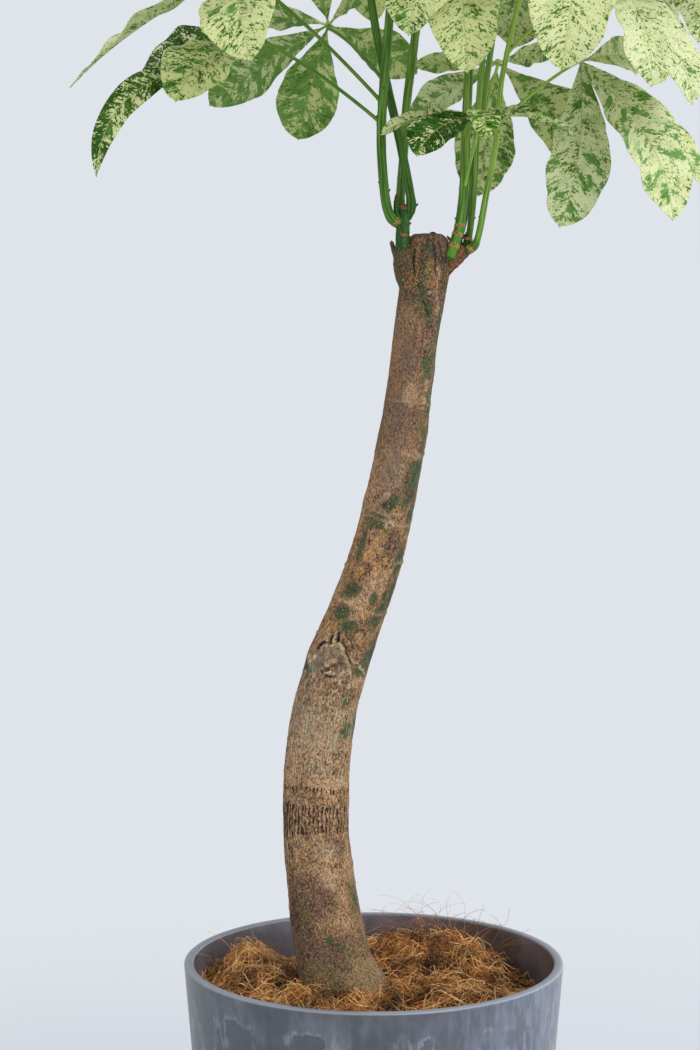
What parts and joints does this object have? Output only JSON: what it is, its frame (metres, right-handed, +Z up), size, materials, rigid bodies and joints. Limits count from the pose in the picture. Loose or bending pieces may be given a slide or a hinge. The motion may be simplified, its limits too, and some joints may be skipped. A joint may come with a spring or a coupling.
{
  "type": "potted money tree",
  "caption": "Potted money tree: a leaning woody trunk with green shoots and hand-shaped variegated leaves, standing in a tapered round grey pot under a coir mat.",
  "frame": {"origin": "centre of the pot's flat foot, on the ground", "axes": "+Z up along the plant, -Y towards the side that the picture shows, +X to the right there"},
  "size_m": [0.5228, 0.3519, 1.3005],
  "materials": {
    "pot": "matte grey stone look with pale weathered streaks",
    "soil": "dull dark potting soil",
    "coir": "dry golden-brown coir fibre",
    "bark": "finely mottled tan and grey-brown bark with smooth green patches",
    "green_stem": "smooth semi-gloss green stem",
    "leaf_blade": "waxy cream leaf flecked and streaked with green"
  },
  "bodies": {
    "root": {"pot": "pot", "soil": "soil", "coir_mulch": "coir", "trunk": "bark", "branch_left": "green_stem", "shoot_left_front": "green_stem", "shoot_left_back": "green_stem", "shoot_left_cross": "green_stem", "shoot_right_front": "green_stem", "shoot_right_back": "green_stem", "shoot_right_mid": "green_stem", "shoot_right_end": "green_stem", "leaf_01": "leaf_blade", "leaf_02": "leaf_blade", "leaf_03": "leaf_blade", "leaf_04": "leaf_blade", "leaf_05": "leaf_blade", "leaf_06": "leaf_blade", "leaf_07": "leaf_blade", "leaf_08": "leaf_blade", "leaf_09": "leaf_blade", "leaf_10": "leaf_blade", "leaf_11": "leaf_blade", "leaf_12": "leaf_blade", "leaf_13": "leaf_blade", "leaf_14": "leaf_blade", "leaf_15": "leaf_blade", "leaf_16": "leaf_blade", "leaf_17": "leaf_blade", "leaf_18": "leaf_blade", "leaf_19": "leaf_blade", "leaf_20": "leaf_blade", "leaf_21": "leaf_blade", "leaf_22": "leaf_blade", "leaf_23": "leaf_blade", "leaf_24": "leaf_blade"}
  },
  "joints": []
}
